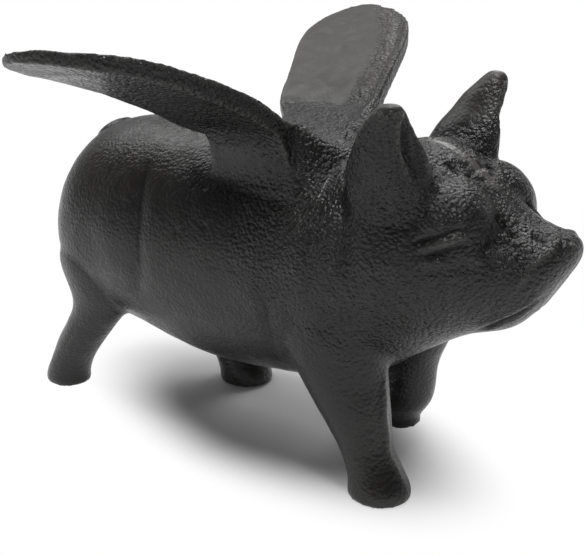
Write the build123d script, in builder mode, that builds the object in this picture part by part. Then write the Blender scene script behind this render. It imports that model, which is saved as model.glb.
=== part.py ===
from build123d import *
import os
from math import sqrt

# A flying pig figurine in cast iron, in millimetres: +X to the snout, +Y to the pig's left, +Z up.
# The origin is on the floor under the middle of the pig. The pig walks, so its four feet differ.

RIGHT = -1
LEFT = 1

# Trunk and head, from the rump to the middle of the snout
body_length = 138.5
back_height = 77.0
trunk_half_width = 26.0
upper_share = 0.3766
lower_share = 0.4156
upper_depth = back_height * upper_share
lower_depth = back_height * lower_share
wall = 4.0
hoof_overhang = 3.0
snout_lead = 4.0
rump_x = (hoof_overhang - body_length - snout_lead) / 2

# Each row is a cross section: place along the body, height of its centre, half width, upper half and
# lower half, as shares of the five sizes above, and the tilt of its plane in degrees.
station_shares = [
    (0.0030, 0.585, 0.17, 0.17, 0.16, 0),
    (0.0160, 0.588, 0.42, 0.43, 0.38, 0),
    (0.0450, 0.595, 0.68, 0.68, 0.62, 0),
    (0.1000, 0.608, 0.89, 0.88, 0.78, 0),
    (0.1800, 0.620, 0.98, 0.97, 0.84, 0),
    (0.3500, 0.625, 1.02, 1.00, 1.00, 0),
    (0.4800, 0.625, 1.00, 0.99, 1.00, 0),
    (0.5850, 0.627, 0.98, 0.94, 0.95, 0),
    (0.6700, 0.662, 0.98, 0.87, 1.00, 4),
    (0.7400, 0.700, 0.97, 0.90, 1.03, 10),
    (0.8100, 0.722, 0.92, 0.72, 0.93, 16),
    (0.8650, 0.722, 0.80, 0.54, 0.78, 20),
    (0.9080, 0.703, 0.64, 0.44, 0.64, 26),
    (0.9450, 0.689, 0.51, 0.44, 0.52, 30),
    (0.9750, 0.678, 0.40, 0.43, 0.42, 30),
    (0.9900, 0.676, 0.30, 0.37, 0.33, 30),
    (1.0000, 0.675, 0.14, 0.26, 0.20, 30),
]
cavity_stations = station_shares[2:12]

# Brows, each a swelling over a closed eye
brow_along = 117.0
brow_depth = 13.5
brow_height = back_height - brow_depth
brow_out = 9.8
brow_radius = 11.0

# Ears: foot and height, place along the body and from the middle, how much further forward the right
# one stands, turn of their front edges towards each other in degrees, lean to the tip and half widths
ear_foot_depth = 19.0
ear_foot_height = back_height - ear_foot_depth
ear_height = 33.3
ear_along = 106.0
ear_out = 16.0
right_ear_lead = 1.0
ear_turn = 9.0
ear_lean_forward = 5.0
ear_lean_out = 9.5
ear_half_length = 10.5
ear_half_thickness = 6.5
# Level, way forwards, way outwards, length and thickness
ear_shares = [
    (0.00, 0.00, 0.00, 0.70, 0.60),
    (0.33, 0.00, 0.10, 0.95, 0.88),
    (0.53, 0.06, 0.26, 0.89, 0.82),
    (0.71, 0.38, 0.57, 0.72, 0.67),
    (0.87, 0.64, 0.87, 0.50, 0.50),
    (0.95, 0.78, 0.97, 0.33, 0.38),
    (1.00, 0.90, 1.00, 0.16, 0.20),
]
# Hollow of an ear, an oval scoop down its front edge: foot and tip as ear shares, half width, and how
# far its line lies before the ear's own
scoop_foot_share = 0.36
scoop_tip_share = 0.97
scoop_radius = 3.6
scoop_lead = 10.0

# Legs, each from a hoof on the floor to a haunch that is sunk in the flank
leg_height = 50.0
hoof_height = 2.5
haunch_half_width = 10.0
haunch_half_length = 14.0
haunch_out = 14.3
hoof_width_share = 0.95
# Level, way from the hoof to the haunch, and swelling from the ankle to the haunch
leg_shares = [
    (0.150, 0.14, 0.03),
    (0.290, 0.37, 0.16),
    (0.480, 0.66, 0.55),
    (0.680, 0.90, 0.92),
    (0.850, 0.98, 0.95),
    (1.000, 1.00, 0.45),
]
# The right rear leg is pushed back, and stays slim up to the ham
pushing_leg_shares = [
    (0.150, 0.14, 0.03),
    (0.290, 0.40, 0.12),
    (0.440, 0.74, 0.22),
    (0.620, 0.98, 0.62),
    (0.850, 1.00, 0.84),
    (1.000, 1.00, 0.45),
]
# Each leg: its hoof along the body and from the middle, its haunch along the body, and the half
# widths of its hoof and ankle
right_front_hoof_along = 107.0
right_front_hoof_out = 17.4
right_front_haunch_along = 90.8
right_rear_hoof_along = 3.3
right_rear_hoof_out = 15.6
right_rear_haunch_along = 19.5
left_front_hoof_along = 93.1
left_front_hoof_out = 16.8
left_front_haunch_along = 95.0
left_rear_hoof_along = 44.5
left_rear_hoof_out = 14.0
left_rear_haunch_along = 25.5
front_hoof_radius = 7.3
front_ankle_radius = 6.2
rear_hoof_radius = 6.3
rear_ankle_radius = 5.8
leading_hoof_radius = 7.5
leading_ankle_radius = 6.8
trailing_hoof_radius = 5.9
trailing_ankle_radius = 8.3

# Tail, a curl cast on top of the rump
tail_along = 12.5
tail_depth = 7.0
tail_height = back_height - tail_depth
tail_ring_radius = 3.8
tail_wire_radius = 1.9
tail_lean = 38.0

# Wings
wing_span = 64.0
wing_chord = 31.0
wing_front_along = 83.2
wing_base_depth = 0.4
wing_base_height = back_height - wing_base_depth
wing_front_rise = 30.5
wing_rear_rise = 22.4
wing_front_thickness = 5.2
wing_rear_thickness = 1.4
wing_middle_gap = 0.15
# The swept sheet that a wing is cut from runs past both its edges, as shares of the chord
sheet_front_share = -0.1
sheet_rear_share = 1.45
# Out along the span, and rise of the upper face at the front and at the rear
wing_rise_shares = [
    (0.000, 0.00, 0.00),
    (0.140, 0.09, 0.05),
    (0.270, 0.21, 0.15),
    (0.390, 0.38, 0.32),
    (0.610, 0.63, 0.62),
    (0.875, 0.90, 0.88),
    (1.100, 1.11, 1.10),
]
# Edges in plan: way back along the chord, and out along the span
leading_shares = [
    (0.00, 0.24),
    (0.04, 0.39),
    (0.12, 0.56),
    (0.21, 0.69),
    (0.35, 0.79),
    (0.56, 0.88),
    (0.83, 0.96),
]
trailing_shares = [
    (1.06, 1.00),
    (1.24, 0.975),
    (1.36, 0.88),
    (1.33, 0.73),
    (1.24, 0.61),
    (1.05, 0.41),
    (0.94, 0.28),
    (0.78, 0.19),
    (0.67, 0.11),
]

# Saddle, ground across both shoulders: level at the middle, then a slope on each side for a root pad
saddle_depth = 2.2
saddle_height = back_height - saddle_depth
saddle_slope = 29.5
saddle_rear_along = 61.0
saddle_length = 29.0
saddle_clearance = 0.3
saddle_plate = 4.4
seat_out = 13.0
seat_drop = 3.6
seat_height = saddle_height - seat_drop

# Wing root: its pad on the saddle, the gusset under the blade, and the nose that runs down the neck
pad_out = 19.0
gusset_out = 30.0
gusset_rise = 11.7
gusset_height = saddle_height + gusset_rise
gusset_bow = 4.0
nose_lap = 0.5
nose_out = 18.0
nose_end_out = 17.8
# Out and up from the saddle to the face of the nose, at the leading edge and at the neck, as shares
# of nose_out and nose_rise
nose_rise = 8.0
nose_start_shares = [(1.04, -0.25), (1.01, 0.40), (0.93, 1.00), (0.50, 0.58), (0.01, 0.20)]
nose_end_shares = [(0.93, -0.60), (0.85, -0.46), (0.72, -0.25), (0.50, 0.04), (0.01, 0.16)]

# Body screw and its bosses
thread_clearance = 0.05
shank_clearance = 0.25
head_clearance = 0.4
hole_end_room = 0.6
body_screw_along = 62.0
body_screw_height = 46.0
body_screw_radius = 2.1
body_screw_head_radius = 3.9
body_screw_head_height = 2.6
body_screw_grip = 20.0
body_screw_bite = 14.0
body_boss_radius = 6.2
body_boss_length = 24.0

# Wing screws, driven from inside through the plate of the saddle
wing_screw_radius = 1.5
wing_screw_head_radius = 2.7
wing_screw_head_height = 1.9
wing_screw_bite = 3.6
wing_screw_spacing = 12.0
wing_screw_along = 71.0
slot_width_share = 0.3
slot_depth_share = 0.5

# Locating pegs on the rim of the right half, and their sockets
peg_radius = 2.0
peg_length = 3.0
peg_clearance = 0.1
peg_boss_radius = 4.0
peg_boss_depth = 8.0
peg_inset = 6.5
peg_stations = [(station_shares[4], True), (station_shares[9], True), (station_shares[6], False)]

overrun = 20.0


def along(distance):
    """The place on the X axis of a distance measured forwards from the rump."""
    return rump_x + distance


def section_plane(x, z, tilt, side):
    """A cross section plane whose own X points outwards from the pig's middle."""
    lean = Vector(0, 0, 1).rotate(Axis.Y, tilt)
    outwards = Vector(0, side, 0)
    return Plane(origin=(x, 0, z), x_dir=outwards, z_dir=outwards.cross(lean))


def trunk(side, stations, inset, past_middle, mode):
    """Lofts one half of the trunk and head through half sections of two quarter ellipses."""
    sections = []
    for along_share, centre_share, width_share, up_share, down_share, tilt in stations:
        width = trunk_half_width * width_share - inset
        up = upper_depth * up_share - inset
        down = lower_depth * down_share - inset
        plane = section_plane(along(body_length * along_share), back_height * centre_share, tilt, side)
        with BuildSketch(plane) as section:
            with BuildLine():
                low = EllipticalCenterArc((0, 0), width, down, start_angle=-90, arc_size=90)
                high = EllipticalCenterArc((0, 0), width, up, start_angle=0, arc_size=90)
                if past_middle:
                    Polyline(high @ 1, (-past_middle, up), (-past_middle, -down), low @ 0)
                else:
                    Line(high @ 1, low @ 0)
            make_face()
        sections.append(section.sketch)
    loft(sections, mode=mode)


def leg(side, hoof_along, hoof_out, haunch_along, hoof_radius, ankle_radius, shares):
    """Lofts one leg, from a flared hoof on the floor to its haunch in the flank."""
    sections = []
    for height in (0, hoof_height):
        with BuildSketch(Plane.XY.offset(height)) as section:
            with Locations((along(hoof_along), side * hoof_out)):
                Ellipse(hoof_radius, hoof_radius * hoof_width_share)
        sections.append(section.sketch)
    for level_share, way_share, swell_share in shares:
        forward = hoof_along + (haunch_along - hoof_along) * way_share
        outward = hoof_out + (haunch_out - hoof_out) * way_share
        half_length = ankle_radius + (haunch_half_length - ankle_radius) * swell_share
        half_width = ankle_radius + (haunch_half_width - ankle_radius) * swell_share
        with BuildSketch(Plane.XY.offset(leg_height * level_share)) as section:
            with Locations((along(forward), side * outward)):
                Ellipse(half_length, half_width)
        sections.append(section.sketch)
    loft(sections)


def legs(side):
    """The two legs of one half. The pig walks, so they differ from the other half's."""
    if side == RIGHT:
        front = (right_front_hoof_along, right_front_hoof_out, right_front_haunch_along)
        rear = (right_rear_hoof_along, right_rear_hoof_out, right_rear_haunch_along)
        leg(side, *front, front_hoof_radius, front_ankle_radius, leg_shares)
        leg(side, *rear, rear_hoof_radius, rear_ankle_radius, pushing_leg_shares)
    else:
        front = (left_front_hoof_along, left_front_hoof_out, left_front_haunch_along)
        rear = (left_rear_hoof_along, left_rear_hoof_out, left_rear_haunch_along)
        leg(side, *front, trailing_hoof_radius, trailing_ankle_radius, leg_shares)
        leg(side, *rear, leading_hoof_radius, leading_ankle_radius, leg_shares)


def ear_middle(side):
    """The place of an ear along the pig. The right one stands a little further forward."""
    return along(ear_along + right_ear_lead) if side == RIGHT else along(ear_along)


def ear(side):
    """Lofts one ear, swept forwards and outwards to its tip."""
    sections = []
    for level_share, forward_share, out_share, length_share, thickness_share in ear_shares:
        x = ear_middle(side) + ear_lean_forward * forward_share
        y = side * (ear_out + ear_lean_out * out_share)
        half_length = ear_half_length * length_share
        half_thickness = ear_half_thickness * thickness_share
        with BuildSketch(Plane.XY.offset(ear_foot_height + ear_height * level_share)) as section:
            with Locations((x, y)):
                Ellipse(half_length, half_thickness, rotation=-side * ear_turn)
        sections.append(section.sketch)
    loft(sections)


def ear_scoop(side):
    """Hollows the front of one ear with an oval cutter that lies along it."""
    ends = []
    for level_share, lead in ((scoop_foot_share, scoop_lead), (scoop_tip_share, scoop_lead / 3)):
        x = ear_middle(side) + lead + ear_lean_forward * level_share
        y = side * (ear_out + ear_lean_out * level_share)
        ends.append(Vector(x, y, ear_foot_height + ear_height * level_share))
    foot, tip = ends
    long_way = (tip - foot).normalized()
    middle = (foot + tip) / 2
    half_length = (tip - foot).length / 2
    with BuildSketch(Plane(origin=middle, x_dir=long_way, z_dir=long_way.cross(Vector(1, 0, 0)))) as oval:
        with BuildLine():
            bow = EllipticalCenterArc((0, 0), half_length, scoop_radius, start_angle=0, arc_size=180)
            Line(bow @ 0, bow @ 1)
        make_face()
    revolve(oval.sketch, axis=Axis(middle, long_way), mode=Mode.SUBTRACT)


def tail_curl(side):
    """One half of the ring of the tail, lying on the slope of the rump."""
    across = Plane(origin=(along(tail_along), 0, tail_height)).rotated((0, -tail_lean, 0))
    with BuildSketch(Plane(origin=across.origin, x_dir=across.x_dir, z_dir=-across.y_dir)) as wire:
        with Locations((tail_ring_radius, 0)):
            Circle(tail_wire_radius)
    revolve(wire.sketch, axis=Axis(across.origin, side * across.z_dir), revolution_arc=180)


def seat_plane(side):
    """The slope of the saddle on one side. Its own X points forwards and its Z out of the body."""
    slope = Vector(0, 0, 1).rotate(Axis.X, -side * saddle_slope)
    return Plane(origin=(along(wing_screw_along), side * seat_out, seat_height), x_dir=(1, 0, 0), z_dir=slope)


def seat_level(outward):
    """The height of the sloping seat at a distance from the middle."""
    run = Vector(1, 0, 0).rotate(Axis.Y, saddle_slope)
    return seat_height + (outward - seat_out) * run.Z / run.X


def saddle_knee():
    """The distance from the middle where the level of the saddle meets its slope."""
    run = Vector(1, 0, 0).rotate(Axis.Y, saddle_slope)
    return seat_out + (saddle_height - seat_height) * run.X / run.Z


def root_plane(side, x):
    """A plane across the pig whose own X points outwards and whose Y points up."""
    return section_plane(x, 0, 0, side)


def saddle_profile(depth):
    """The bent plate under the wings, seen from the front of the pig, this thick under its faces."""
    edge = pad_out + saddle_clearance
    steep = depth / Vector(1, 0, 0).rotate(Axis.Y, saddle_slope).X
    knee = saddle_knee() - (steep - depth) / (seat_level(0) - seat_level(1))
    return [
        (0, saddle_height),
        (saddle_knee(), saddle_height),
        (edge, seat_level(edge)),
        (edge, seat_level(edge) - steep),
        (knee, saddle_height - depth),
        (0, saddle_height - depth),
    ]


def saddle(side):
    """Lines the shoulder with a bent plate and clears all above it, so that a wing's root lies flat."""
    middle = along(saddle_rear_along + saddle_length / 2)
    half = saddle_length / 2 + saddle_clearance
    with BuildSketch(root_plane(side, middle)) as plate:
        with BuildLine():
            Polyline(*saddle_profile(saddle_plate), close=True)
        make_face()
    extrude(plate.sketch, amount=half, both=True)
    with BuildSketch(root_plane(side, middle)) as clearing:
        with BuildLine():
            Polyline(*saddle_profile(-overrun), close=True)
        make_face()
    extrude(clearing.sketch, amount=half, both=True, mode=Mode.SUBTRACT)


def screw_line(side, height, station):
    """A plane at the parting face with its Z along a screw that runs across the pig."""
    return Plane(origin=(along(station), 0, height), x_dir=(1, 0, 0), z_dir=(0, side, 0))


def wing_screw_lines(side):
    """Planes on a seat, at its two screws, with Z out of the body."""
    seat = seat_plane(side)
    return [Plane(seat.location * place) for place in GridLocations(wing_screw_spacing, 0, 2, 1)]


def post(plane, radius, start, length, mode=Mode.ADD):
    """A round post or hole along a plane's Z, from a distance above it."""
    with BuildSketch(plane.offset(start)) as ring:
        Circle(radius)
    extrude(ring.sketch, amount=length, mode=mode)


def peg_planes(side):
    """Planes on the parting face at the three locating pegs, with Z into one half."""
    planes = []
    for station, above in peg_stations:
        along_share, centre_share, width_share, up_share, down_share, tilt = station
        lean = Vector(0, 0, 1).rotate(Axis.Y, tilt)
        reach = upper_depth * up_share - peg_inset if above else peg_inset - lower_depth * down_share
        x = along(body_length * along_share) + lean.X * reach
        z = back_height * centre_share + lean.Z * reach
        planes.append(Plane(origin=(x, 0, z), x_dir=(1, 0, 0), z_dir=(0, side, 0)))
    return planes


def body_half(side):
    """What both castings share: shell, legs, ear, brow, tail, bosses and the saddle."""
    trunk(side, station_shares, 0, 0, Mode.ADD)
    legs(side)
    ear(side)
    ear_scoop(side)
    with Locations((along(brow_along), side * brow_out, brow_height)):
        Sphere(brow_radius)
    tail_curl(side)
    split(bisect_by=Plane.XZ, keep=Keep.BOTTOM if side == LEFT else Keep.TOP)
    trunk(side, cavity_stations, wall, overrun, Mode.SUBTRACT)
    post(screw_line(side, body_screw_height, body_screw_along), body_boss_radius, 0, body_boss_length)
    for plane in peg_planes(side):
        post(plane, peg_boss_radius, 0, peg_boss_depth)
    saddle(side)
    for plane in wing_screw_lines(side):
        post(plane, wing_screw_radius + shank_clearance, -overrun / 2, overrun, Mode.SUBTRACT)


def wing_point(out_share, rise_share, rise, drop):
    """A point of a wing's cross profile, measured outwards and upwards, a distance under its face."""
    return (wing_span * out_share, wing_base_height + rise * rise_share - drop)


def wing_band(side, front_drop, rear_drop):
    """The swept sheet of a wing, ruled from its front profile to its rear one."""
    sections = []
    front = (sheet_front_share, wing_front_rise, front_drop)
    rear = (sheet_rear_share, wing_rear_rise, rear_drop)
    for back_share, rise, drop in (front, rear):
        x = along(wing_front_along - wing_chord * back_share)
        with BuildSketch(root_plane(side, x)) as section:
            with BuildLine():
                top_points = []
                for out_share, front_share, rear_share in wing_rise_shares:
                    share = front_share + (rear_share - front_share) * back_share
                    top_points.append(wing_point(out_share, share, rise, 0))
                foot_points = [(out, up - drop) for out, up in top_points]
                upper = Spline(*top_points)
                lower = Spline(*foot_points)
                Line(upper @ 1, lower @ 1)
                Line(upper @ 0, lower @ 0)
            make_face()
        sections.append(section.sketch)
    loft(sections, ruled=True)


with BuildPart() as right_body_half:
    body_half(RIGHT)
    line = screw_line(RIGHT, body_screw_height, body_screw_along)
    post(line, body_screw_radius + thread_clearance, 0, body_screw_bite + hole_end_room, Mode.SUBTRACT)
    for plane in peg_planes(LEFT):
        post(plane, peg_radius, -peg_length, 2 * peg_length)
right_body_half.part.label = "right_body_half"

with BuildPart() as left_body_half:
    body_half(LEFT)
    line = screw_line(LEFT, body_screw_height, body_screw_along)
    post(line, body_screw_radius + shank_clearance, 0, body_screw_grip, Mode.SUBTRACT)
    post(line, body_screw_head_radius + head_clearance, body_screw_grip, overrun, Mode.SUBTRACT)
    for plane in peg_planes(LEFT):
        post(plane, peg_radius + peg_clearance, 0, peg_length + hole_end_room, Mode.SUBTRACT)
left_body_half.part.label = "left_body_half"

# The blade of the left wing, the root that carries it under the same swept face, and the nose that
# brings its leading edge down to the neck
with BuildPart() as left_blade:
    wing_band(LEFT, wing_front_thickness, wing_rear_thickness)
    with BuildSketch(Plane.XY.offset(saddle_height - overrun)) as plan:
        with BuildLine():
            edge_points = []
            for back_share, out_share in leading_shares + trailing_shares:
                edge_points.append((along(wing_front_along - wing_chord * back_share), wing_span * out_share))
            outer_edge = Spline(*edge_points)
            rear_root = (along(saddle_rear_along), wing_middle_gap)
            front_root = (along(wing_front_along), wing_middle_gap)
            Polyline(outer_edge @ 1, rear_root, front_root, outer_edge @ 0)
        make_face()
    extrude(plan.sketch, amount=4 * overrun, mode=Mode.INTERSECT)

with BuildPart() as left_root:
    wing_band(LEFT, overrun, overrun)
    with BuildSketch(root_plane(LEFT, along(saddle_rear_along))) as profile:
        with BuildLine():
            foot = (pad_out, seat_level(pad_out))
            tip = (gusset_out, gusset_height)
            bowed = SagittaArc(foot, tip, gusset_bow)
            Polyline(
                tip,
                (gusset_out, gusset_height + overrun),
                (wing_middle_gap, gusset_height + overrun),
                (wing_middle_gap, saddle_height),
                (saddle_knee(), saddle_height),
                foot,
            )
        make_face()
    extrude(profile.sketch, amount=saddle_length, mode=Mode.INTERSECT)
    extrude(plan.sketch, amount=4 * overrun, mode=Mode.INTERSECT)

with BuildPart() as left_nose:
    nose_sections = []
    front_along = saddle_rear_along + saddle_length
    nose_start = (wing_front_along - nose_lap, pad_out, nose_start_shares)
    nose_end = (front_along, nose_end_out, nose_end_shares)
    for station, foot_out, shares in (nose_start, nose_end):
        with BuildSketch(root_plane(LEFT, along(station))) as nose_section:
            with BuildLine():
                face_points = [(foot_out, seat_level(foot_out))]
                for out_share, up_share in shares:
                    face_points.append((nose_out * out_share, saddle_height + nose_rise * up_share))
                face = Spline(*face_points)
                Polyline(
                    face @ 1,
                    (nose_out * shares[-1][0], saddle_height),
                    (saddle_knee(), saddle_height),
                    face @ 0,
                )
            make_face()
        nose_sections.append(nose_section.sketch)
    loft(nose_sections, ruled=True)

with BuildPart() as left_wing:
    add(left_blade.part)
    add(left_root.part)
    add(left_nose.part)
    with BuildSketch(root_plane(LEFT, along(saddle_rear_along + saddle_length / 2))) as under:
        with BuildLine():
            Polyline(*saddle_profile(overrun), close=True)
        make_face()
    extrude(under.sketch, amount=saddle_length, both=True, mode=Mode.SUBTRACT)
    for plane in wing_screw_lines(LEFT):
        post(plane, wing_screw_radius + thread_clearance, 0, wing_screw_bite + hole_end_room, Mode.SUBTRACT)
left_wing.part.label = "left_wing"

with BuildPart() as right_wing:
    mirror(left_wing.part, about=Plane.XZ)
right_wing.part.label = "right_wing"


def screw(seat, radius, shank_length, head_radius, head_height):
    """A slotted round-headed screw. Its seat plane's Z points from the shank to the head."""
    post(seat, radius, -shank_length, shank_length)
    with BuildSketch(Plane(origin=seat.origin, x_dir=seat.x_dir, z_dir=-seat.y_dir)) as dome:
        with BuildLine():
            rim = Line((0, 0), (head_radius, 0))
            crown = EllipticalCenterArc((0, 0), head_radius, head_height, start_angle=0, arc_size=90)
            Line(crown @ 1, rim @ 0)
        make_face()
    revolve(dome.sketch, axis=Axis(seat.origin, seat.z_dir))
    with BuildSketch(seat.offset(head_height * (1 - slot_depth_share))) as slot:
        Rectangle(overrun, head_radius * slot_width_share)
    extrude(slot.sketch, amount=head_height, mode=Mode.SUBTRACT)


with BuildPart() as body_screw:
    head_seat = screw_line(LEFT, body_screw_height, body_screw_along).offset(body_screw_grip)
    shank_length = body_screw_grip + body_screw_bite
    screw(head_seat, body_screw_radius, shank_length, body_screw_head_radius, body_screw_head_height)
body_screw.part.label = "body_screw"

os.makedirs("parts", exist_ok=True)
for piece in (right_body_half, left_body_half, right_wing, left_wing, body_screw):
    export_step(piece.part, f"parts/{piece.part.label}.step")

# Each wing has a rear and a front screw, with its head inside the body
for side_name, side in (("right", RIGHT), ("left", LEFT)):
    for end_name, line in zip(("rear", "front"), wing_screw_lines(side)):
        with BuildPart() as wing_screw:
            under = Plane(origin=line.offset(-saddle_plate).origin, x_dir=line.x_dir, z_dir=-line.z_dir)
            shank_length = saddle_plate + wing_screw_bite
            screw(under, wing_screw_radius, shank_length, wing_screw_head_radius, wing_screw_head_height)
        wing_screw.part.label = f"{side_name}_wing_{end_name}_screw"
        export_step(wing_screw.part, f"parts/{wing_screw.part.label}.step")
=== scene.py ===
import math

import bmesh
import bpy
import numpy as np
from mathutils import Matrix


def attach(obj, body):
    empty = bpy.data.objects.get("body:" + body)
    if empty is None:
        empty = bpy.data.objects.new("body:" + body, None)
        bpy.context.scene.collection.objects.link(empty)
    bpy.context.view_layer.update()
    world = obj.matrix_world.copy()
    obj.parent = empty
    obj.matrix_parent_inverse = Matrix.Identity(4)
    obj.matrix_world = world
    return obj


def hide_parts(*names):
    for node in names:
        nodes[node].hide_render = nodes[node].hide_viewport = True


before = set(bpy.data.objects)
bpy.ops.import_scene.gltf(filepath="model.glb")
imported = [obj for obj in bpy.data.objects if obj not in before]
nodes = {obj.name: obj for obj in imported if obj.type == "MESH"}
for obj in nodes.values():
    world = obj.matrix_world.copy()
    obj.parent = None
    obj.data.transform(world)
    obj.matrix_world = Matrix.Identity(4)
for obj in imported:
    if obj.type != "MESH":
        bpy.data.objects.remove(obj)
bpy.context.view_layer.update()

import openvdb
from mathutils import Vector, noise

# Sizes here are in millimetres, as in the part's source, and are turned to metres on the way out.
MM = 0.001
# The grid that the skin is worked on, and the fillet that the sand mould leaves in inner corners
VOXEL = 0.45
FILLET = 1.9


def arrays(obj):
    """A mesh object's points in millimetres and its triangles."""
    mesh = obj.data
    mesh.calc_loop_triangles()
    points = np.empty(len(mesh.vertices) * 3)
    mesh.vertices.foreach_get("co", points)
    triangles = np.empty(len(mesh.loop_triangles) * 3, dtype=np.int32)
    mesh.loop_triangles.foreach_get("vertices", triangles)
    return points.reshape(-1, 3) / MM, triangles.reshape(-1, 3)


def joined(names):
    """The points and triangles of several CAD nodes as one soup."""
    all_points, all_triangles, start = [], [], 0
    for name in names:
        points, triangles = arrays(nodes[name])
        all_points.append(points)
        all_triangles.append(triangles + start)
        start += len(points)
    return np.vstack(all_points), np.vstack(all_triangles)


def level_set(points, triangles, quads, voxel, reach):
    """A signed distance field round a closed surface, to a distance of reach each way."""
    transform = openvdb.createLinearTransform(voxelSize=voxel)
    return openvdb.FloatGrid.createLevelSetFromPolygons(
        np.ascontiguousarray(points, dtype=np.float32),
        triangles=None if triangles is None else np.ascontiguousarray(triangles, dtype=np.uint32),
        quads=None if quads is None else np.ascontiguousarray(quads, dtype=np.uint32),
        transform=transform,
        halfWidth=reach / voxel + 1.5,
    )


def shells(points, quads):
    """The separate closed surfaces of a quad mesh, largest first."""
    label = np.arange(len(points))
    edges = np.vstack([quads[:, [0, 1]], quads[:, [1, 2]], quads[:, [2, 3]]])
    while True:
        low = np.minimum(label[edges[:, 0]], label[edges[:, 1]])
        before = label.copy()
        np.minimum.at(label, edges[:, 0], low)
        np.minimum.at(label, edges[:, 1], low)
        label = label[label]
        if (label == before).all():
            break
    found = []
    of_quad = label[quads[:, 0]]
    for value, count in zip(*np.unique(of_quad, return_counts=True)):
        found.append((count, quads[of_quad == value]))
    found.sort(key=lambda pair: -pair[0])
    return [pair[1] for pair in found]


def compact(points, quads):
    """Leaves out the points that no quad uses."""
    used, renumbered = np.unique(quads, return_inverse=True)
    return points[used], renumbered.reshape(quads.shape)


def outward(points, quads):
    """The same quads, wound so that their normals point out of the solid."""
    a, b, c, d = (points[quads[:, k]] for k in range(4))
    volume = (np.cross(a, b) * c).sum() + (np.cross(a, c) * d).sum()
    return quads if volume > 0 else quads[:, ::-1]


def new_object(name, points, faces):
    """A mesh object in the scene, from points in millimetres."""
    mesh = bpy.data.meshes.new(name)
    mesh.from_pydata((np.asarray(points) * MM).tolist(), [], np.asarray(faces).tolist())
    mesh.update()
    obj = bpy.data.objects.new(name, mesh)
    bpy.context.scene.collection.objects.link(obj)
    return obj


# The castings' outer skin: grow the CAD solids by a fillet radius, then shrink them back, which
# leaves every inner corner with the round fillet that molten iron takes from a sand mould.
skin_nodes = ["right_body_half", "left_body_half", "right_wing", "left_wing"]
points, triangles = joined(skin_nodes)
grown = level_set(points, triangles, None, VOXEL, FILLET)
points, _, quads = grown.convertToPolygons(isovalue=FILLET, adaptivity=0)
points, quads = compact(points, shells(points, quads.astype(np.int64))[0])
shrunk = level_set(points, None, quads, VOXEL, FILLET)
points, _, quads = shrunk.convertToPolygons(isovalue=-FILLET, adaptivity=0)
points, quads = compact(points, shells(points, quads.astype(np.int64))[0])
quads = outward(points, quads)
points = points.astype(np.float64)


def neighbours_mean(points, quads):
    """The mean of each point's neighbours along the quads' edges."""
    total = np.zeros_like(points)
    count = np.zeros(len(points))
    for k in range(4):
        start, end = quads[:, k], quads[:, (k + 1) % 4]
        for axis in range(3):
            total[:, axis] += np.bincount(start, points[end, axis], len(points))
        count += np.bincount(start, minlength=len(points))
    return total / np.maximum(count, 1)[:, None]


def smoothed(points, quads, rounds):
    """Evens out the steps of the grid, and gives back each time what that takes off the form."""
    taken, given = 0.55, 0.57
    for _ in range(rounds):
        points = points + taken * (neighbours_mean(points, quads) - points)
        points = points - given * (neighbours_mean(points, quads) - points)
    return points


def normals_of(points, quads):
    """Unit normals at the points."""
    a, b, c, d = (points[quads[:, k]] for k in range(4))
    face = np.cross(c - a, d - b)
    total = np.zeros_like(points)
    for k in range(4):
        for axis in range(3):
            total[:, axis] += np.bincount(quads[:, k], face[:, axis], len(points))
    return total / np.maximum(np.linalg.norm(total, axis=1), 1e-9)[:, None]


def edges_eased(points, quads, rounds):
    """Rounds off only the sharp edges, as sand and rubbing leave them."""
    # How far a point lies from its neighbours' mean, in voxels, where an edge starts to count
    sharp_from, sharp_range = 0.07, 0.12
    for _ in range(rounds):
        step = neighbours_mean(points, quads) - points
        gap = np.linalg.norm(step, axis=1) / VOXEL
        share = np.clip((gap - sharp_from) / sharp_range, 0, 1)
        points = points + 0.6 * share[:, None] * step
    return points


points = smoothed(points, quads, 12)
points = edges_eased(points, quads, 8)
points = smoothed(points, quads, 3)
normals = normals_of(points, quads)
# The same points with Y as the distance from the middle
mirrored = points * [1, 0, 1] + np.abs(points) * [0, 1, 0]


def path_distance(where, path):
    """The distance of each place from a path of straight steps, and how far along the path it is."""
    best = np.full(len(where), 1e9)
    share = np.zeros(len(where))
    path = np.asarray(path, dtype=float)
    lengths = np.linalg.norm(np.diff(path, axis=0), axis=1)
    total = lengths.sum()
    done = 0.0
    for start, end, length in zip(path[:-1], path[1:], lengths):
        step = (end - start) / length
        t = np.clip((where - start) @ step, 0, length)
        gap = np.linalg.norm(where - start - t[:, None] * step, axis=1)
        nearer = gap < best
        best[nearer] = gap[nearer]
        share[nearer] = (done + t[nearer]) / total
        done += length
    return best, share


# How far each point of the skin is moved out along its normal, in the end
raised = np.zeros(len(points))


def stroke(path, width, height, where=None, fade=1.6):
    """Raises or sinks the skin along a path, dying away at its ends, slower with a lower fade."""
    where = mirrored if where is None else where
    low, high = np.min(path, axis=0) - 3 * width, np.max(path, axis=0) + 3 * width
    near = np.flatnonzero(((where > low) & (where < high)).all(axis=1))
    if len(near) == 0:
        return
    gap, share = path_distance(where[near], path)
    # The rise starts and ends at a small share of its height
    ends = np.clip(np.sin(np.pi * (0.04 + 0.92 * share)) * fade, 0, 1)
    raised[near] += height * ends * np.exp(-((gap / width) ** 2))


def dab(centre, radius, height):
    """Raises or sinks a round patch of the skin."""
    gap = (((mirrored - centre) / radius) ** 2).sum(axis=1)
    raised[:] += height * np.exp(-gap)


def ramped(values, low, high):
    """0 below low, 1 above high and a smooth rise between them."""
    share = np.clip((values - low) / (high - low), 0, 1)
    return share * share * (3 - 2 * share)


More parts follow.
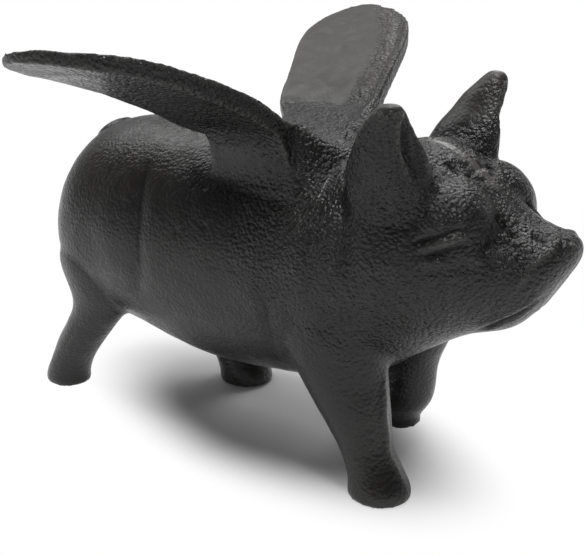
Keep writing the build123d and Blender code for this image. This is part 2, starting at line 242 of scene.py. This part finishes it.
# Creases, lids and ridges of the face and the body. Each has its width, its rise and its path, with
# Y as the distance from the middle, so that it stands on both sides.
face_strokes = [
    # Closed eye: fold over it, lid, fold under it, and the fold of the cheek
    (1.00, -0.60, [
        (44.6, 22.2, 61.6),
        (46.0, 21.7, 63.0),
        (49.0, 20.6, 64.4),
        (52.4, 19.1, 66.0),
        (55.4, 16.6, 66.9),
    ]),
    (1.20, 0.40, [(46.4, 21.9, 62.0), (49.5, 20.5, 62.9), (52.6, 19.3, 64.1), (55.2, 17.1, 65.1)]),
    (1.00, -0.50, [
        (45.6, 22.6, 60.2),
        (46.5, 22.3, 60.8),
        (49.7, 20.7, 61.4),
        (53.1, 19.1, 62.5),
        (55.9, 16.6, 63.8),
    ]),
    (1.40, -0.45, [(47.5, 22.6, 57.0), (51.5, 21.0, 57.8), (55.0, 18.8, 58.6), (58.0, 15.6, 59.0)]),
    # Wrinkles of the brow
    (0.75, -0.70, [(44.5, 6.1, 76.9), (46.4, 6.8, 75.7), (48.1, 7.5, 74.5)]),
    (0.70, -0.60, [(49.3, 6.0, 74.1), (49.6, 3.0, 74.8), (49.1, 0.5, 75.1)]),
    (0.70, -0.50, [(49.3, 6.0, 74.1), (51.0, 3.4, 73.4), (52.1, 1.4, 72.9)]),
    (0.80, 0.45, [(45.5, 9.3, 75.4), (49.3, 8.0, 74.1), (52.0, 11.5, 73.2)]),
    (0.80, 0.40, [(49.3, 8.0, 74.1), (51.6, 5.6, 73.0), (53.5, 4.3, 71.4)]),
    (0.80, 0.45, [(44.3, 5.6, 77.2), (46.2, 3.4, 76.9), (47.4, 1.6, 76.2)]),
    (0.60, -0.35, [(42.6, 9.6, 77.0), (45.0, 11.8, 75.2), (47.6, 13.6, 73.2)]),
    (0.60, 0.25, [(44.8, 8.4, 76.2), (46.2, 10.6, 75.2), (47.4, 12.6, 74.2)]),
    # Bridge of the nose, its hollows and the rim of the muzzle
    (1.30, -0.95, [(56.8, 7.4, 67.8), (58.6, 7.2, 66.2), (60.6, 7.3, 64.7), (62.4, 7.8, 63.2)]),
    (1.00, -0.55, [(63.8, 5.4, 64.2), (65.4, 5.2, 63.6), (67.4, 5.5, 62.8)]),
    (0.90, 0.35, [(60.5, 3.6, 66.8), (64.5, 3.2, 65.2), (68.2, 2.1, 63.8)]),
    (0.90, 0.50, [
        (68.2, 2.1, 63.8),
        (69.1, 5.8, 62.2),
        (66.9, 9.3, 60.0),
        (65.8, 10.8, 57.9),
        (64.0, 11.6, 54.6),
    ]),
    (1.60, 0.45, [(59.6, 12.8, 61.4), (62.4, 11.7, 60.2), (63.6, 11.4, 58.0)]),
    (0.80, -0.45, [(56.6, 14.6, 62.0), (58.6, 11.6, 63.0), (61.2, 9.6, 62.4), (64.6, 8.8, 61.4)]),
    # Mouth, and the fold of the jowl behind the cheek
    (0.85, -0.75, [
        (68.6, 5.6, 51.2),
        (66.4, 7.2, 48.9),
        (63.7, 8.0, 47.2),
        (60.4, 8.7, 45.0),
        (55.1, 7.4, 41.4),
    ]),
    (1.00, 0.30, [(68.0, 7.4, 52.4), (64.6, 9.8, 48.6), (60.6, 10.6, 46.2), (56.0, 9.8, 43.0)]),
    (2.20, -0.85, [
        (28.7, 21.0, 74.5),
        (27.9, 20.1, 69.6),
        (28.8, 22.2, 64.6),
        (30.9, 24.7, 59.1),
        (33.0, 25.1, 52.5),
    ]),
    (1.60, -0.35, [(36.0, 24.2, 47.0), (39.5, 22.5, 43.5), (44.0, 19.5, 40.6)]),
    (1.20, -0.30, [(40.6, 23.6, 55.0), (43.0, 23.4, 51.0), (46.6, 21.6, 47.6)]),
]
# In front of the ham, from the back down
ham_crease = [
    (-29.0, 18.0, 70.5),
    (-28.5, 20.5, 66.5),
    (-27.5, 23.5, 62.0),
    (-26.5, 25.0, 57.5),
    (-26.5, 26.5, 50.5),
    (-26.5, 26.5, 46.0),
]
body_strokes = [
    # Crease in front of the ham, the hollow beside it and the swelling behind it
    (2.40, -0.50, ham_crease),
    (2.80, -0.50, [(-26.5, 26.5, 52.5), (-26.5, 26.0, 43.0), (-28.0, 25.0, 38.0), (-31.0, 23.0, 33.5)]),
    (4.50, 0.35, [(-36.0, 22.5, 60.0), (-36.0, 25.0, 50.0), (-38.0, 24.5, 40.0)]),
    # Shoulder: its edge on the barrel, and the hollow before it
    (1.80, -0.65, [
        (9.7, 25.4, 49.3),
        (9.9, 25.4, 46.3),
        (10.4, 24.5, 40.3),
        (10.4, 22.3, 33.5),
        (8.4, 17.2, 25.6),
    ]),
    (3.20, 0.50, [(17.0, 22.0, 66.0), (19.0, 25.0, 56.0), (20.0, 25.4, 46.0)]),
]
pits = [
    (-9.7, 20.6, 66.1),
    (-6.9, 24.5, 58.2),
    (-14.5, 25.4, 56.0),
    (2.5, 26.0, 50.5),
    (33.5, 24.6, 58.0),
]
pit_radius, pit_rise = 0.8, -0.22

for width, height, path in face_strokes:
    stroke(path, width, height)
for width, height, path in body_strokes:
    stroke(path, width, height, fade=1.1)
for place in pits:
    dab(place, pit_radius, pit_rise)
# The swelling under the inner corner of the eye
dab((56.5, 16.3, 60.5), 2.1, 0.80)

# The parting strip, ground flat where the halves meet, broad on the head and faint elsewhere
out = mirrored[:, 1]
head_share = ramped(points[:, 0], 24, 36)
head_share *= 1 - 0.8 * ramped(points[:, 0], 51, 57)
strip_edge = 1.0 + 0.35 * head_share
strip = 1 - ramped(out, strip_edge - 0.25, strip_edge + 0.25)
raised -= (0.07 + 0.20 * head_share) * strip
raised += 0.12 * head_share * np.exp(-(((out - strip_edge - 0.6) / 0.5) ** 2))

# The front edge of the right front leg, a ridge from the chest to the hoof
ridge = [
    (36.2, -13.9, 29.0),
    (36.6, -15.4, 26.5),
    (37.8, -17.0, 19.5),
    (38.5, -17.1, 15.0),
    (39.5, -17.7, 11.0),
    (41.9, -17.4, 6.8),
    (44.3, -16.9, 2.9),
]
stroke(ridge, 1.3, 0.75, where=points)
stroke(np.array(ridge) + [-2.6, 0.4, 0], 1.8, -0.35, where=points)

# Feathers on the upper faces of the wings: soft folds, as places along the pig and outwards
upper = ramped(normals[:, 2], 0.40, 0.65) * ramped(out, 13, 17) * ramped(points[:, 2], 76.5, 78.5)
feather_folds = [
    [(-25.0, 48.5), (-20.5, 46.5), (-17.5, 45.0), (-13.0, 43.5), (-8.0, 44.0)],
    [(-23.0, 39.5), (-18.5, 37.5), (-13.5, 35.0), (-10.5, 34.5), (-11.5, 37.5), (-11.0, 39.5)],
    [(-20.5, 30.0), (-17.0, 28.5), (-13.0, 26.5), (-9.5, 25.5), (-10.0, 27.5), (-10.0, 30.0)],
    [(-13.0, 22.5), (-8.0, 24.5), (-4.5, 22.0), (0.0, 21.0)],
    [(-14.0, 39.5), (-12.0, 41.5), (-11.5, 44.0), (-14.0, 47.5)],
    [(-11.0, 34.5), (-8.0, 36.0), (-5.0, 34.0), (-2.0, 31.5), (1.5, 31.0)],
    [(-10.0, 30.0), (-6.5, 30.0), (-3.5, 28.5), (-0.5, 27.0), (2.0, 25.5)],
    [(-11.0, 39.5), (-7.0, 40.5), (-3.5, 38.5), (-1.0, 36.5)],
    [(-26.0, 56.0), (-21.0, 54.5), (-17.0, 52.0), (-13.0, 51.5), (-9.0, 52.0)],
    [(-17.0, 52.0), (-16.0, 55.5), (-16.5, 59.0)],
]
leading_edge = [
    (12.0, 10.0, 0),
    (10.5, 15.5, 0),
    (9.5, 23.0, 0),
    (8.0, 30.0, 0),
    (6.5, 37.0, 0),
    (2.5, 47.0, 0),
    (-7.0, 59.0, 0),
]
plan = mirrored * [1, 1, 0]
level = raised.copy()
for places in feather_folds:
    fold = [(x, y, 0) for x, y in places]
    stroke(fold, 1.35, -0.26, where=plan)
    stroke(np.add(fold, (0.8, 2.6, 0)), 2.5, 0.12, where=plan)
raised = level + upper * (raised - level)
# Coarse sand in a band along the front of each wing
from_edge, _ = path_distance(plan, leading_edge)
beads = upper * (1 - ramped(from_edge, 3.5, 6.5))

# The arris along the front of a wing, dressed with a file, and a band along it that is made lighter as a
# painted highlight
front_arris = [
    (10.5, 15.5, 82.0),
    (9.5, 23.0, 86.5),
    (8.0, 30.0, 90.5),
    (6.5, 37.0, 94.0),
    (2.5, 47.0, 98.0),
    (-3.0, 54.0, 100.5),
]
stroke(front_arris, 1.3, -0.55)
# Painted highlight: a band along the arris, made lighter through the wear layer
arris_gap, _ = path_distance(mirrored, front_arris)
arris_highlight = np.exp(-((arris_gap / 1.0) ** 2))

# Lines where the iron flowed between the roots of the wings
for start_out, end_out, rise in (
    (2.2, 4.0, 0.30),
    (4.6, 7.2, -0.30),
    (7.0, 10.5, 0.25),
    (9.5, 13.0, -0.25),
):
    middle_out = 0.5 * (start_out + end_out)
    flow = [(8.0, start_out, 78.0), (13.0, middle_out, 78.0), (19.0, end_out, 76.5)]
    stroke(flow, 0.8, rise)


def roughness_noise(scale, seed):
    """Smooth noise in the range of about -1 to 1, at a scale in millimetres."""
    shift = Vector((seed * 7.3, seed * 3.1, seed * 11.7))
    values = [noise.noise(Vector(p) / scale + shift) for p in points.tolist()]
    return np.array(values)


# Sand: coarse on the head, the shoulders and the front of the wings, finer on the flanks and the
# hams, and almost none on the feathers
fore = ramped(points[:, 0], -4, 14) * ramped(points[:, 2], 26, 46)
aloft = ramped(points[:, 2], 74, 80)
sand = 0.32 + 0.68 * np.maximum(fore, aloft)
eyes = np.exp(-(((mirrored - (50.5, 20.0, 62.5)) / (7.0, 5.0, 4.0)) ** 2).sum(axis=1))
sand = np.clip(sand - 0.75 * strip * head_share - 0.85 * (upper - beads) - 0.5 * eyes, 0.08, 1)
# Uneven skin in three sizes, in millimetres
raised += (0.11 + 0.16 * upper) * roughness_noise(5.5, 1)
raised += 0.03 * sand * roughness_noise(2.2, 2)
raised += 0.022 * (sand + 1.5 * beads) * roughness_noise(1.1, 3)
# The hooves stand flat on the floor
raised *= ramped(points[:, 2], 0.2, 2.5)

points = points + normals * raised[:, None]

# Wear: the high places of the skin, found against the same skin evened out, and below 0 in hollows; it
# also carries painted light, shade in the ham crease and a highlight along the wings' front arris
EVENING_ROUNDS = 24
FULL_WEAR = 0.30
even = points
for _ in range(EVENING_ROUNDS):
    even = even + 0.5 * (neighbours_mean(even, quads) - even)
high_places = ((points - even) * normals).sum(axis=1)
wear_and_painted_light = np.clip(high_places / FULL_WEAR, -1, 1)
# Painted shade: the crease in front of the ham is pushed below 0, so that it takes the dark hollow colour
ham_gap, _ = path_distance(mirrored, ham_crease)
wear_and_painted_light = np.minimum(wear_and_painted_light, 1 - 1.55 * np.exp(-((ham_gap / 2.4) ** 2)))
ground = strip * head_share
# The ground strip, and the painted highlight along the wings' front arris, are pushed towards full wear
ground_strip_and_arris_highlight = np.maximum(0.9 * ground, arris_highlight)
wear_and_painted_light = wear_and_painted_light + ground_strip_and_arris_highlight * (1 - wear_and_painted_light)

# The boolean steps below leave this material on the skin and the other on the cut faces
skin_mark = bpy.data.materials.new("skin")
cut_mark = bpy.data.materials.new("cut")
casting = new_object("casting", points, quads)
casting.data.materials.append(skin_mark)
layers = {
    "wear_and_painted_light": wear_and_painted_light,
    "sand": sand,
    "ground": ground,
    # Upper faces of the wings: dust, and a painted sheen that makes them lighter
    "dust_and_sheen": upper * ramped(out, 13, 28),
}
for layer, values in layers.items():
    attribute = casting.data.attributes.new(layer, "FLOAT", "POINT")
    attribute.data.foreach_set("value", values.astype(np.float32))


def prism(name, axis, low, high, outline):
    """A straight prism along X or Y with an outline in the two other axes."""
    count = len(outline)
    corners = []
    for level in (low, high):
        for first, second in outline:
            corners.append((level, first, second) if axis == "X" else (first, level, second))
    faces = [list(range(count)), list(range(count, 2 * count))[::-1]]
    for k in range(count):
        faces.append([k, k + count, (k + 1) % count + count, (k + 1) % count])
    mesh = bpy.data.meshes.new(name)
    mesh.from_pydata((np.asarray(corners) * MM).tolist(), [], faces)
    obj = bpy.data.objects.new(name, mesh)
    bpy.context.scene.collection.objects.link(obj)
    work = bmesh.new()
    work.from_mesh(mesh)
    bmesh.ops.recalc_face_normals(work, faces=work.faces)
    work.to_mesh(mesh)
    work.free()
    mesh.materials.append(cut_mark)
    return obj


def combined(base, name, *steps):
    """A copy of base after boolean steps, each an operation and a cutter."""
    obj = bpy.data.objects.new(name, base.data.copy())
    bpy.context.scene.collection.objects.link(obj)
    for operation, cutter in steps:
        modifier = obj.modifiers.new(operation, "BOOLEAN")
        modifier.operation = operation
        modifier.object = cutter
        modifier.solver = "MANIFOLD"
        modifier.material_mode = "TRANSFER"
    bpy.context.view_layer.update()
    evaluated = obj.evaluated_get(bpy.context.evaluated_depsgraph_get())
    mesh = bpy.data.meshes.new_from_object(evaluated)
    obj.modifiers.clear()
    obj.data = mesh
    mesh.name = name
    return obj


# Where a wing ends and the body starts, as in the part: the two ends of the saddle, where its flat
# turns into its slope and where that ends, the levels there, and the level of the free blade
saddle_rear, saddle_front = -9.05, 20.55
knee, edge = 6.636, 19.3
saddle_level, edge_level, free_level = 74.8, 67.635, 69.5
# How far the wing's region reaches up, sideways, out to the tip, and to the rear and the front
region_top, region_side, tip_side = 130, 40, 80
blade_rear, blade_front = -60, 21
# The blade overhangs the back for this far behind the saddle
overhang = 11.0
regions = {}
# Behind the saddle the cut rises from the corner between the back and the rear of the gusset: the
# places of that corner, outwards and up, and the slope backwards
rear_corner = [
    (7.0, 76.9),
    (10.0, 76.2),
    (13.0, 75.0),
    (16.0, 73.0),
    (18.0, 71.0),
    (19.3, 69.3),
    (21.0, 67.6),
    (40.0, 67.6),
]
rear_slope = 0.45
rear_outline = rear_corner + [(40.0, region_top), (7.0, region_top)]
inner_outline = [
    (0.05, saddle_level),
    (knee, saddle_level),
    (edge, edge_level),
    (region_side, edge_level),
    (region_side, region_top),
    (0.05, region_top),
]
outer_outline = [(edge, free_level), (tip_side, free_level), (tip_side, region_top), (edge, region_top)]
for side, sign in (("left", 1), ("right", -1)):
    inner, outer, rear = (
        [(sign * y, z) for y, z in outline] for outline in (inner_outline, outer_outline, rear_outline)
    )
    inner_block = prism("inner_" + side, "X", saddle_rear, saddle_front, inner)
    outer_block = prism("outer_" + side, "X", blade_rear, blade_front, outer)
    rear_block = prism("rear_" + side, "X", saddle_rear - overhang, saddle_rear + 0.2, rear)
    for vertex in rear_block.data.vertices:
        if vertex.co.x < (saddle_rear - 1) * MM and vertex.co.z < (region_top - 1) * MM:
            vertex.co.z += rear_slope * overhang * MM
    regions[side] = combined(inner_block, "region_" + side, ("UNION", outer_block), ("UNION", rear_block))
    for block in (inner_block, outer_block, rear_block):
        bpy.data.objects.remove(block)

# The counterbore of the body screw, in the left flank
bore_x, bore_z, bore_radius, bore_floor, bore_mouth = -7.75, 46.0, 4.3, 20.0, 40.0
bore_sides = 64
bore_rim = []
for step in range(bore_sides):
    turn = math.tau * step / bore_sides
    bore_rim.append((bore_x + bore_radius * math.cos(turn), bore_z + bore_radius * math.sin(turn)))
counterbore = prism("counterbore", "Y", bore_floor, bore_mouth, bore_rim)

# The hollow inside the body, taken from the CAD halves with everything that is fixed in them
points, triangles = joined(skin_nodes)
cavity_voxel, cavity_band, cavity_level = 1.0, 2.0, 0.02
inside = level_set(points, triangles, None, cavity_voxel, cavity_band)
points, _, quads = inside.convertToPolygons(isovalue=cavity_level, adaptivity=0)
parts = shells(points, quads.astype(np.int64))
cavity = None
if len(parts) > 1:
    points, quads = compact(points, parts[1])
    quads = outward(points, quads)
    cavity = new_object("cavity", points, quads)
    cavity.data.materials.append(cut_mark)

made = {}
# Half the width of the fine line that shows between the halves, and a block larger than a half
seam = 0.015
half_reach, half_floor, half_top = 90, -10, 140
for side, sign in (("right", -1), ("left", 1)):
    near, far = sign * seam, sign * half_reach
    block = [(near, half_floor), (far, half_floor), (far, half_top), (near, half_top)]
    half_block = prism("half_" + side, "X", -half_reach, half_reach, block)
    steps = [("INTERSECT", half_block), ("DIFFERENCE", regions[side])]
    if cavity is not None:
        steps.append(("DIFFERENCE", cavity))
    if side == "left":
        steps.append(("DIFFERENCE", counterbore))
    made[side + "_body_half"] = combined(casting, side + "_body", *steps)
    made[side + "_wing"] = combined(casting, side + "_wing_cast", ("INTERSECT", regions[side]))
    bpy.data.objects.remove(half_block)
for obj in (casting, cavity, counterbore, regions["left"], regions["right"]):
    if obj is not None:
        bpy.data.objects.remove(obj)


class Shade:
    """A short way to build a node material."""

    def __init__(self, name):
        self.material = bpy.data.materials.new(name)
        self.material.use_nodes = True
        self.tree = self.material.node_tree
        self.shader = self.tree.nodes["Principled BSDF"]
        self.coords = self.tree.nodes.new("ShaderNodeTexCoord").outputs["Object"]

    def link(self, source, target):
        """Joins two sockets."""
        self.tree.links.new(source, target)

    def texture(self, kind, scale, output="Fac", stretch=None, **settings):
        """A texture in the object's own coordinates, stretched where that is asked for."""
        node = self.tree.nodes.new(kind)
        node.inputs["Scale"].default_value = scale
        for key, value in settings.items():
            node.inputs[key].default_value = value
        source = self.coords
        if stretch:
            mapping = self.tree.nodes.new("ShaderNodeMapping")
            mapping.inputs["Scale"].default_value = stretch
            self.link(self.coords, mapping.inputs["Vector"])
            source = mapping.outputs["Vector"]
        self.link(source, node.inputs["Vector"])
        return node.outputs[output]

    def layer(self, name):
        """A value that the skin carries at its points."""
        node = self.tree.nodes.new("ShaderNodeAttribute")
        node.attribute_name = name
        return node.outputs["Fac"]

    def ramp(self, source, low, high, first=0.0, last=1.0):
        """A smooth change from first to last as the source goes from low to high."""
        node = self.tree.nodes.new("ShaderNodeMapRange")
        node.interpolation_type = "SMOOTHSTEP"
        for key, value in (("From Min", low), ("From Max", high), ("To Min", first), ("To Max", last)):
            node.inputs[key].default_value = value
        self.link(source, node.inputs["Value"])
        return node.outputs["Result"]

    def math(self, operation, first, second):
        """One sum with two values, each a socket or a number."""
        node = self.tree.nodes.new("ShaderNodeMath")
        node.operation = operation
        for socket, value in zip(node.inputs, (first, second)):
            if isinstance(value, (int, float)):
                socket.default_value = value
            else:
                self.link(value, socket)
        return node.outputs["Value"]

    def mix(self, share, first, second):
        """A colour between two others, each a socket or a tuple."""
        node = self.tree.nodes.new("ShaderNodeMix")
        node.data_type = "RGBA"
        self.link(share, node.inputs["Factor"])
        for socket, value in ((node.inputs[6], first), (node.inputs[7], second)):
            if isinstance(value, tuple):
                socket.default_value = (*value, 1)
            else:
                self.link(value, socket)
        return node.outputs[2]

    def bump(self, height, strength, distance, under=None):
        """A bumped normal over another."""
        node = self.tree.nodes.new("ShaderNodeBump")
        node.inputs["Distance"].default_value = distance
        if isinstance(strength, (int, float)):
            node.inputs["Strength"].default_value = strength
        else:
            self.link(strength, node.inputs["Strength"])
        self.link(height, node.inputs["Height"])
        if under is not None:
            self.link(under, node.inputs["Normal"])
        return node.outputs["Normal"]


def iron(name):
    """Dark sand-cast iron: near black with a brown bloom, greyer and smoother on rubbed places; lighter on
    the wings' upper faces with settled dirt and a painted sheen; a painted highlight along the wings'
    front arris; darker in hollows with dirt and painted shade, and between the sand beads.
    """
    black, brown, grey = (0.0080, 0.0078, 0.0078), (0.0150, 0.0132, 0.0118), (0.024, 0.022, 0.0205)
    dusty_sheen, bare_and_highlight, freshly_ground = (0.064, 0.060, 0.054), (0.055, 0.053, 0.050), (0.105, 0.100, 0.095)
    grime_and_shade_dark, bead_gap_dark = (0.0035, 0.0032, 0.0030), (0.0030, 0.0028, 0.0026)
    shade = Shade(name)
    wear_and_painted_light = shade.layer("wear_and_painted_light")
    sand = shade.layer("sand")
    ground = shade.layer("ground")
    dust_and_sheen = shade.layer("dust_and_sheen")
    bloom = shade.texture("ShaderNodeTexNoise", 40, Detail=5, Roughness=0.6)
    patches = shade.texture("ShaderNodeTexNoise", 170, Detail=4, Roughness=0.65)
    grain = shade.texture("ShaderNodeTexNoise", 1500, Detail=3, Roughness=0.55)
    between = shade.texture("ShaderNodeTexVoronoi", 1050, output="Distance", Randomness=1.0)
    lumps = shade.texture("ShaderNodeTexNoise", 420, Detail=2, Roughness=0.5)
    colour = shade.mix(shade.ramp(bloom, 0.35, 0.70), black, brown)
    colour = shade.mix(shade.ramp(patches, 0.55, 0.80, 0.0, 0.6), colour, grey)
    # Rubbed places take a bare colour; along the wings' front arris this lighter colour is a painted
    # highlight
    worn_and_highlit = shade.math("MULTIPLY", shade.ramp(wear_and_painted_light, 0.20, 0.90), shade.ramp(patches, 0.30, 0.60, 0.45, 1.0))
    # Upper faces of the wings: lighter with dust and a painted sheen
    colour = shade.mix(shade.math("MULTIPLY", dust_and_sheen, 0.90), colour, dusty_sheen)
    colour = shade.mix(worn_and_highlit, colour, bare_and_highlight)
    colour = shade.mix(shade.ramp(ground, 0.3, 0.9, 0.0, 0.8), colour, freshly_ground)
    # Hollows and creases are darker with grime and painted shade, which also takes the shine off
    grime_and_painted_shade = shade.ramp(wear_and_painted_light, -0.75, -0.20, 0.8, 0.0)
    colour = shade.mix(grime_and_painted_shade, colour, grime_and_shade_dark)
    # Darker in the gaps between the sand beads, more where the sand is coarse
    bead_gap_darkening = shade.math("MULTIPLY", sand, shade.ramp(between, 0.30, 0.75, 0.0, 0.7))
    colour = shade.mix(bead_gap_darkening, colour, bead_gap_dark)
    shade.link(colour, shade.shader.inputs["Base Color"])
    rough = shade.ramp(patches, 0.30, 0.72, 0.24, 0.40)
    rough = shade.math("SUBTRACT", rough, shade.math("MULTIPLY", worn_and_highlit, 0.08))
    rough = shade.math("SUBTRACT", rough, shade.math("MULTIPLY", sand, 0.09))
    rough = shade.math("ADD", rough, shade.math("MULTIPLY", dust_and_sheen, 0.20))
    rough = shade.math("ADD", rough, shade.math("MULTIPLY", grime_and_painted_shade, 0.15))
    shade.link(rough, shade.shader.inputs["Roughness"])
    shade.link(shade.ramp(grime_and_painted_shade, 0.0, 0.8, 0.46, 0.22), shade.shader.inputs["Specular IOR Level"])
    strength = shade.math("MULTIPLY", sand, shade.ramp(patches, 0.25, 0.65, 0.60, 1.0))
    beads = shade.math("SUBTRACT", 1.0, between)
    normal = shade.bump(lumps, strength, 0.00016)
    normal = shade.bump(beads, strength, 0.00042, under=normal)
    normal = shade.bump(grain, strength, 0.00052, under=normal)
    shade.link(normal, shade.shader.inputs["Normal"])
    return shade.material


def turned_steel(name):
    """Dull turned steel with fine rings and a grey oxide bloom."""
    shade = Shade(name)
    bloom = shade.texture("ShaderNodeTexNoise", 700, Detail=4, Roughness=0.6)
    along = (1.0, 0.12, 1.0)
    scratches = shade.texture("ShaderNodeTexNoise", 2500, stretch=along, Detail=3, Roughness=0.6)
    colour = shade.mix(shade.ramp(bloom, 0.40, 0.70), (0.22, 0.215, 0.21), (0.11, 0.10, 0.095))
    shade.link(colour, shade.shader.inputs["Base Color"])
    shade.link(shade.ramp(bloom, 0.30, 0.70, 0.30, 0.52), shade.shader.inputs["Roughness"])
    shade.link(shade.bump(scratches, 0.5, 0.00006), shade.shader.inputs["Normal"])
    shade.shader.inputs["Metallic"].default_value = 0.9
    return shade.material


def rims_sharpened(obj):
    """Marks as sharp the edges where the skin meets a cut face, and the corners of the cut faces."""
    mesh = obj.data
    mesh.shade_smooth()
    mesh.set_sharp_from_angle(angle=math.radians(30))
    slots = np.array([slot.name.startswith("cut") for slot in mesh.materials])
    of_face = np.empty(len(mesh.polygons), dtype=np.int32)
    mesh.polygons.foreach_get("material_index", of_face)
    corners = np.empty(len(mesh.polygons), dtype=np.int32)
    mesh.polygons.foreach_get("loop_total", corners)
    edges = np.empty(len(mesh.loops), dtype=np.int32)
    mesh.loops.foreach_get("edge_index", edges)
    cut = np.repeat(slots[of_face], corners).astype(np.int32)
    touching = np.bincount(edges, weights=cut, minlength=len(mesh.edges))
    corner = np.empty(len(mesh.edges), dtype=bool)
    mesh.attributes["sharp_edge"].data.foreach_get("value", corner)
    sharp = (touching == 1) | ((touching == 2) & corner)
    mesh.attributes["sharp_edge"].data.foreach_set("value", sharp)


body_iron = iron("cast_iron_body")
wing_iron = iron("cast_iron_wings")
steel = turned_steel("turned_steel")
for node, obj in made.items():
    rims_sharpened(obj)
    obj.data.materials.clear()
    obj.data.materials.append(body_iron if node.endswith("half") else wing_iron)
    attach(obj, "root")
    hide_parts(node)
for node, obj in nodes.items():
    if node.endswith("screw"):
        for slot in obj.material_slots:
            slot.material = steel

# Floor and light
floor_mesh = bpy.data.meshes.new("floor")
reach = 6.0
floor_corners = [(-reach, -reach, 0), (reach, -reach, 0), (reach, reach, 0), (-reach, reach, 0)]
floor_mesh.from_pydata(floor_corners, [], [(0, 1, 2, 3)])
floor = bpy.data.objects.new("floor", floor_mesh)
bpy.context.scene.collection.objects.link(floor)
floor_shade = Shade("floor")
floor_shade.shader.inputs["Base Color"].default_value = (0.95, 0.95, 0.95, 1)
floor_shade.shader.inputs["Roughness"].default_value = 0.9
floor_shade.shader.inputs["Specular IOR Level"].default_value = 0.0
# Away from the pig the floor is plain white to the camera, and a little less so to reflections
light_path = floor_shade.tree.nodes.new("ShaderNodeLightPath")
mirrored_floor = floor_shade.math("MULTIPLY", light_path.outputs["Is Glossy Ray"], 0.60)
seen = floor_shade.math("MAXIMUM", light_path.outputs["Is Camera Ray"], mirrored_floor)
seen = floor_shade.math("MAXIMUM", seen, light_path.outputs["Is Transmission Ray"])
pool = floor_shade.tree.nodes.new("ShaderNodeMapping")
pool.vector_type = "TEXTURE"
pool.inputs["Location"].default_value = (-0.006, 0.001, 0)
pool.inputs["Rotation"].default_value = (0, 0, math.radians(-12))
pool.inputs["Scale"].default_value = (0.074, 0.036, 1)
floor_shade.link(floor_shade.coords, pool.inputs["Vector"])
reach_node = floor_shade.tree.nodes.new("ShaderNodeVectorMath")
reach_node.operation = "LENGTH"
floor_shade.link(pool.outputs["Vector"], reach_node.inputs[0])
away = floor_shade.ramp(reach_node.outputs["Value"], 0.45, 1.02)
far = floor_shade.math("MULTIPLY", away, seen)
white = floor_shade.tree.nodes.new("ShaderNodeEmission")
blend = floor_shade.tree.nodes.new("ShaderNodeMixShader")
floor_shade.link(far, blend.inputs["Fac"])
floor_shade.link(floor_shade.shader.outputs["BSDF"], blend.inputs[1])
floor_shade.link(white.outputs["Emission"], blend.inputs[2])
floor_shade.link(blend.outputs["Shader"], floor_shade.tree.nodes["Material Output"].inputs["Surface"])
floor_mesh.materials.append(floor_shade.material)

# A white room, bright at the horizon and dimmer overhead
world = bpy.data.worlds.new("studio")
bpy.context.scene.world = world
world.use_nodes = True
sky = world.node_tree
direction = sky.nodes.new("ShaderNodeTexCoord").outputs["Generated"]
height = sky.nodes.new("ShaderNodeSeparateXYZ")
fade = sky.nodes.new("ShaderNodeMapRange")
fade.interpolation_type = "SMOOTHSTEP"
for key, value in (("From Min", 0.0), ("From Max", 0.55), ("To Min", 0.43), ("To Max", 0.14)):
    fade.inputs[key].default_value = value
sky.links.new(direction, height.inputs["Vector"])
sky.links.new(height.outputs["Z"], fade.inputs["Value"])
# The camera sees it plain white
sky_path = sky.nodes.new("ShaderNodeLightPath")
brightness = sky.nodes.new("ShaderNodeMath")
brightness.operation = "MAXIMUM"
sky.links.new(fade.outputs["Result"], brightness.inputs[0])
sky.links.new(sky_path.outputs["Is Camera Ray"], brightness.inputs[1])
sky.links.new(brightness.outputs["Value"], sky.nodes["Background"].inputs["Strength"])
sky.nodes["Background"].inputs["Color"].default_value = (1, 1, 1, 1)


def area_light(name, place, target, size, power):
    """A soft box at a place in metres, turned to a target."""
    data = bpy.data.lights.new(name, "AREA")
    data.shape = "RECTANGLE"
    data.size, data.size_y = size
    data.energy = power
    obj = bpy.data.objects.new(name, data)
    bpy.context.scene.collection.objects.link(obj)
    obj.location = place
    obj.rotation_euler = (Vector(target) - Vector(place)).to_track_quat("-Z", "Y").to_euler()


area_light("overhead", (0.00, -0.05, 0.72), (0, 0, 0.03), (0.25, 0.25), 3.0)
area_light("rear_left", (-0.49, 0.16, 0.60), (0, 0, 0.05), (0.42, 0.42), 1.3)
area_light("rear", (-0.12, 0.52, 0.50), (0, 0, 0.05), (0.32, 0.32), 1.3)

# The camera's place and lens, as fitted to the photograph
camera_data = bpy.data.cameras.new("camera")
camera_data.sensor_width = 36
camera_data.lens = 61.54
camera = bpy.data.objects.new("camera", camera_data)
bpy.context.scene.collection.objects.link(camera)
target = Vector((0.00085, 0, 0.040))
turn, tilt, distance = math.radians(35), math.radians(20), 0.250
back = Vector((math.sin(turn) * math.cos(tilt), -math.cos(turn) * math.cos(tilt), math.sin(tilt)))
camera.location = target + back * distance
camera.rotation_euler = (-back).to_track_quat("-Z", "Y").to_euler()
bpy.context.scene.camera = camera
bpy.context.scene.view_settings.view_transform = "Standard"
